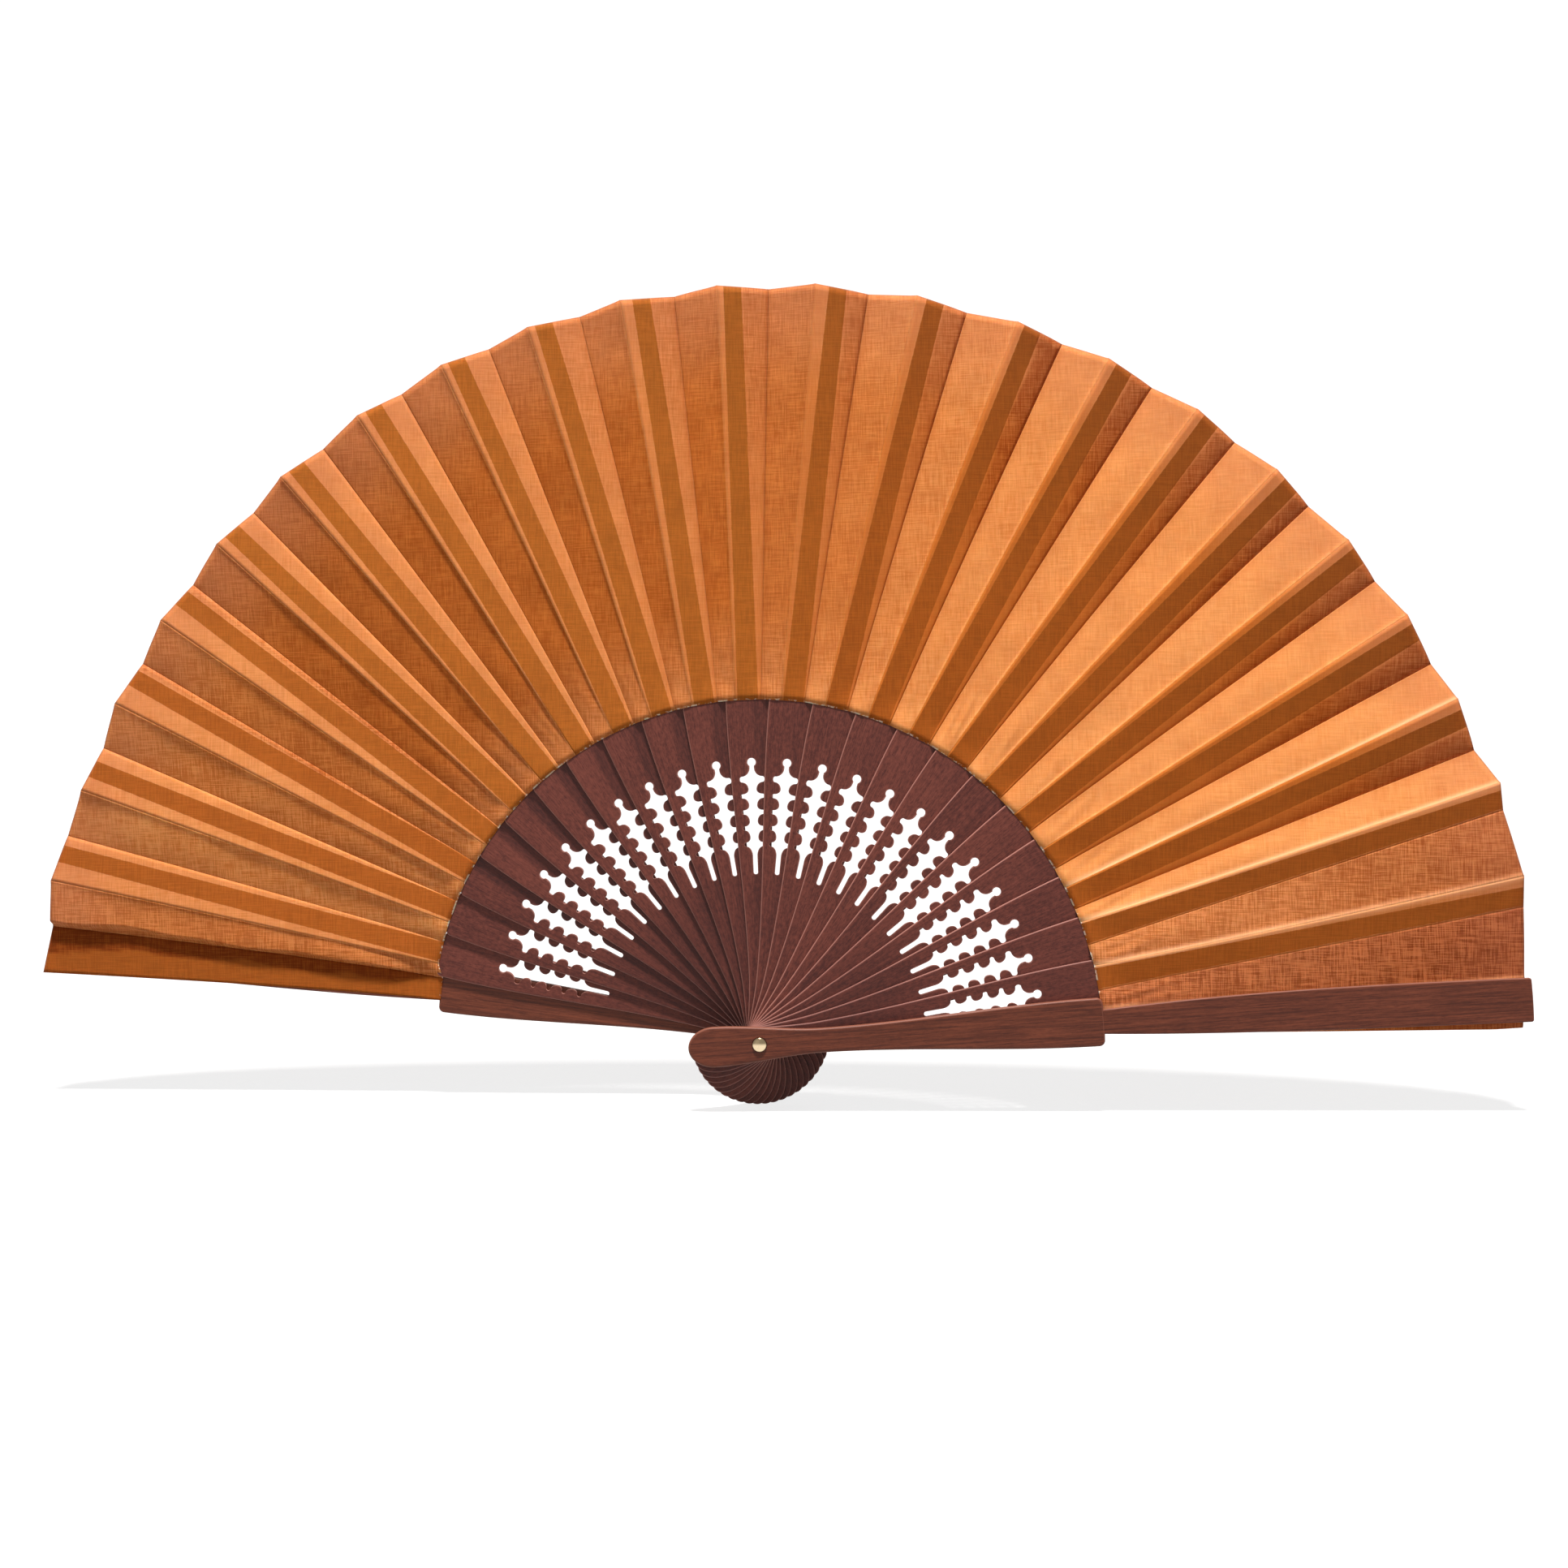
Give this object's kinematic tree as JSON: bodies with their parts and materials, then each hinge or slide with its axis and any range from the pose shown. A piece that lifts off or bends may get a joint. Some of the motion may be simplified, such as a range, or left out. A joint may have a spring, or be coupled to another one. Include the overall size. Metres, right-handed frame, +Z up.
{
  "type": "folding hand fan",
  "caption": "Folding hand fan, fully open: pierced wooden sticks and two guards turn on one rivet and carry a pleated cloth leaf.",
  "frame": {"origin": "on the rivet's axis, half way through the stack of sticks, where the head of the fan is held", "axes": "+X towards the front guard's side, +Y along the rivet from the front to the back, +Z up through the middle of the open leaf"},
  "size_m": [0.4135, 0.03, 0.2258],
  "materials": {
    "guard_wood": "dark red-brown hardwood, fine straight grain, waxed satin",
    "stick_wood": "dark red-brown hardwood, thin pierced slats, satin",
    "leaf_cloth": "thin plain-weave cotton, warm orange, slightly see-through",
    "rivet_brass": "polished domed rivet head"
  },
  "bodies": {
    "front_guard": {"front_guard": "guard_wood", "rivet": "rivet_brass", "rivet_rear_head": "rivet_brass", "leaf_pleat_00": "leaf_cloth", "leaf_free_pleats": "leaf_cloth"},
    "blade_01": {"stick_01": "stick_wood", "leaf_pleat_01": "leaf_cloth"},
    "blade_02": {"stick_02": "stick_wood", "leaf_pleat_02": "leaf_cloth"},
    "blade_03": {"stick_03": "stick_wood", "leaf_pleat_03": "leaf_cloth"},
    "blade_04": {"stick_04": "stick_wood", "leaf_pleat_04": "leaf_cloth"},
    "blade_05": {"stick_05": "stick_wood", "leaf_pleat_05": "leaf_cloth"},
    "blade_06": {"stick_06": "stick_wood", "leaf_pleat_06": "leaf_cloth"},
    "blade_07": {"stick_07": "stick_wood", "leaf_pleat_07": "leaf_cloth"},
    "blade_08": {"stick_08": "stick_wood", "leaf_pleat_08": "leaf_cloth"},
    "blade_09": {"stick_09": "stick_wood", "leaf_pleat_09": "leaf_cloth"},
    "blade_10": {"stick_10": "stick_wood", "leaf_pleat_10": "leaf_cloth"},
    "blade_11": {"stick_11": "stick_wood", "leaf_pleat_11": "leaf_cloth"},
    "blade_12": {"stick_12": "stick_wood", "leaf_pleat_12": "leaf_cloth"},
    "blade_13": {"stick_13": "stick_wood", "leaf_pleat_13": "leaf_cloth"},
    "blade_14": {"stick_14": "stick_wood", "leaf_pleat_14": "leaf_cloth"},
    "blade_15": {"stick_15": "stick_wood", "leaf_pleat_15": "leaf_cloth"},
    "blade_16": {"stick_16": "stick_wood", "leaf_pleat_16": "leaf_cloth"},
    "blade_17": {"stick_17": "stick_wood", "leaf_pleat_17": "leaf_cloth"},
    "blade_18": {"stick_18": "stick_wood", "leaf_pleat_18": "leaf_cloth"},
    "blade_19": {"stick_19": "stick_wood", "leaf_pleat_19": "leaf_cloth"},
    "blade_20": {"stick_20": "stick_wood", "leaf_pleat_20": "leaf_cloth"},
    "blade_21": {"stick_21": "stick_wood", "leaf_pleat_21": "leaf_cloth"},
    "blade_22": {"stick_22": "stick_wood", "leaf_pleat_22": "leaf_cloth"},
    "rear_guard": {"rear_guard": "guard_wood", "leaf_pleat_23": "leaf_cloth"}
  },
  "joints": [
    {"name": "fold_01", "type": "hinge", "parent": "front_guard", "child": "blade_01", "pos_m": [0, 0, 0], "axis": [0, 1, 0], "range_deg": [0, 6.3], "deforming": ["leaf_free_pleats"]},
    {"name": "fold_02", "type": "hinge", "parent": "blade_01", "child": "blade_02", "pos_m": [0, 0, 0], "axis": [0, 1, 0], "range_deg": [0, 7.44], "deforming": ["leaf_free_pleats"]},
    {"name": "fold_03", "type": "hinge", "parent": "blade_02", "child": "blade_03", "pos_m": [0, 0, 0], "axis": [0, 1, 0], "range_deg": [0, 7.44], "deforming": ["leaf_free_pleats"]},
    {"name": "fold_04", "type": "hinge", "parent": "blade_03", "child": "blade_04", "pos_m": [0, 0, 0], "axis": [0, 1, 0], "range_deg": [0, 7.44], "deforming": ["leaf_free_pleats"]},
    {"name": "fold_05", "type": "hinge", "parent": "blade_04", "child": "blade_05", "pos_m": [0, 0, 0], "axis": [0, 1, 0], "range_deg": [0, 7.44], "deforming": ["leaf_free_pleats"]},
    {"name": "fold_06", "type": "hinge", "parent": "blade_05", "child": "blade_06", "pos_m": [0, 0, 0], "axis": [0, 1, 0], "range_deg": [0, 7.44], "deforming": ["leaf_free_pleats"]},
    {"name": "fold_07", "type": "hinge", "parent": "blade_06", "child": "blade_07", "pos_m": [0, 0, 0], "axis": [0, 1, 0], "range_deg": [0, 7.44], "deforming": ["leaf_free_pleats"]},
    {"name": "fold_08", "type": "hinge", "parent": "blade_07", "child": "blade_08", "pos_m": [0, 0, 0], "axis": [0, 1, 0], "range_deg": [0, 7.44], "deforming": ["leaf_free_pleats"]},
    {"name": "fold_09", "type": "hinge", "parent": "blade_08", "child": "blade_09", "pos_m": [0, 0, 0], "axis": [0, 1, 0], "range_deg": [0, 7.44], "deforming": ["leaf_free_pleats"]},
    {"name": "fold_10", "type": "hinge", "parent": "blade_09", "child": "blade_10", "pos_m": [0, 0, 0], "axis": [0, 1, 0], "range_deg": [0, 7.44], "deforming": ["leaf_free_pleats"]},
    {"name": "fold_11", "type": "hinge", "parent": "blade_10", "child": "blade_11", "pos_m": [0, 0, 0], "axis": [0, 1, 0], "range_deg": [0, 7.44], "deforming": ["leaf_free_pleats"]},
    {"name": "fold_12", "type": "hinge", "parent": "blade_11", "child": "blade_12", "pos_m": [0, 0, 0], "axis": [0, 1, 0], "range_deg": [0, 7.44], "deforming": ["leaf_free_pleats"]},
    {"name": "fold_13", "type": "hinge", "parent": "blade_12", "child": "blade_13", "pos_m": [0, 0, 0], "axis": [0, 1, 0], "range_deg": [0, 7.44], "deforming": ["leaf_free_pleats"]},
    {"name": "fold_14", "type": "hinge", "parent": "blade_13", "child": "blade_14", "pos_m": [0, 0, 0], "axis": [0, 1, 0], "range_deg": [0, 7.44], "deforming": ["leaf_free_pleats"]},
    {"name": "fold_15", "type": "hinge", "parent": "blade_14", "child": "blade_15", "pos_m": [0, 0, 0], "axis": [0, 1, 0], "range_deg": [0, 7.44], "deforming": ["leaf_free_pleats"]},
    {"name": "fold_16", "type": "hinge", "parent": "blade_15", "child": "blade_16", "pos_m": [0, 0, 0], "axis": [0, 1, 0], "range_deg": [0, 7.44], "deforming": ["leaf_free_pleats"]},
    {"name": "fold_17", "type": "hinge", "parent": "blade_16", "child": "blade_17", "pos_m": [0, 0, 0], "axis": [0, 1, 0], "range_deg": [0, 7.44], "deforming": ["leaf_free_pleats"]},
    {"name": "fold_18", "type": "hinge", "parent": "blade_17", "child": "blade_18", "pos_m": [0, 0, 0], "axis": [0, 1, 0], "range_deg": [0, 7.44], "deforming": ["leaf_free_pleats"]},
    {"name": "fold_19", "type": "hinge", "parent": "blade_18", "child": "blade_19", "pos_m": [0, 0, 0], "axis": [0, 1, 0], "range_deg": [0, 7.44], "deforming": ["leaf_free_pleats"]},
    {"name": "fold_20", "type": "hinge", "parent": "blade_19", "child": "blade_20", "pos_m": [0, 0, 0], "axis": [0, 1, 0], "range_deg": [0, 7.44], "deforming": ["leaf_free_pleats"]},
    {"name": "fold_21", "type": "hinge", "parent": "blade_20", "child": "blade_21", "pos_m": [0, 0, 0], "axis": [0, 1, 0], "range_deg": [0, 7.44], "deforming": ["leaf_free_pleats"]},
    {"name": "fold_22", "type": "hinge", "parent": "blade_21", "child": "blade_22", "pos_m": [0, 0, 0], "axis": [0, 1, 0], "range_deg": [0, 7.44], "deforming": ["leaf_free_pleats"]},
    {"name": "fold_23", "type": "hinge", "parent": "blade_22", "child": "rear_guard", "pos_m": [0, 0, 0], "axis": [0, 1, 0], "range_deg": [0, 6.3], "deforming": ["leaf_free_pleats"]}
  ]
}
